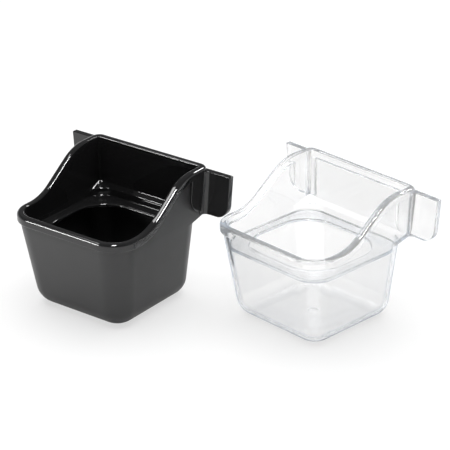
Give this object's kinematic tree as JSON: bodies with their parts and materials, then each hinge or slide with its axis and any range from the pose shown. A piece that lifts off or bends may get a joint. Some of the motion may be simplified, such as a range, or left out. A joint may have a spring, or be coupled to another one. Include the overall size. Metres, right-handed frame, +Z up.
{
  "type": "winged seed cup set",
  "caption": "Winged cage seed cups, black and clear: square tapered tub, rim sweeping up to a high back, flat side wings and a drop-in guard ring with a rounded mouth.",
  "frame": {"origin": "on the floor, in the middle of the pair's footprint", "axes": "+Z up, -Y the front of the black cup, +X to its right, towards the clear cup"},
  "size_m": [0.2248, 0.142, 0.0792],
  "materials": {
    "black_cup": "gloss inside and on rim and wings, satin outside the tub",
    "black_seed_guard": "gloss",
    "clear_cup": "clear, polished",
    "clear_seed_guard": "clear, polished"
  },
  "bodies": {
    "black_cup": {"black_cup": "black_cup"},
    "black_guard": {"black_seed_guard": "black_seed_guard"},
    "clear_cup": {"clear_cup": "clear_cup"},
    "clear_guard": {"clear_seed_guard": "clear_seed_guard"}
  },
  "joints": [
    {"name": "black_guard_lift", "type": "slide", "parent": "black_cup", "child": "black_guard", "axis": [0, 0, 1], "range_m": [0, 0.05]},
    {"name": "clear_cup_lift", "type": "slide", "parent": "black_cup", "child": "clear_cup", "axis": [0, 0, 1], "range_m": [0, 0.1]},
    {"name": "clear_guard_lift", "type": "slide", "parent": "clear_cup", "child": "clear_guard", "axis": [0, 0, 1], "range_m": [0, 0.05]}
  ]
}
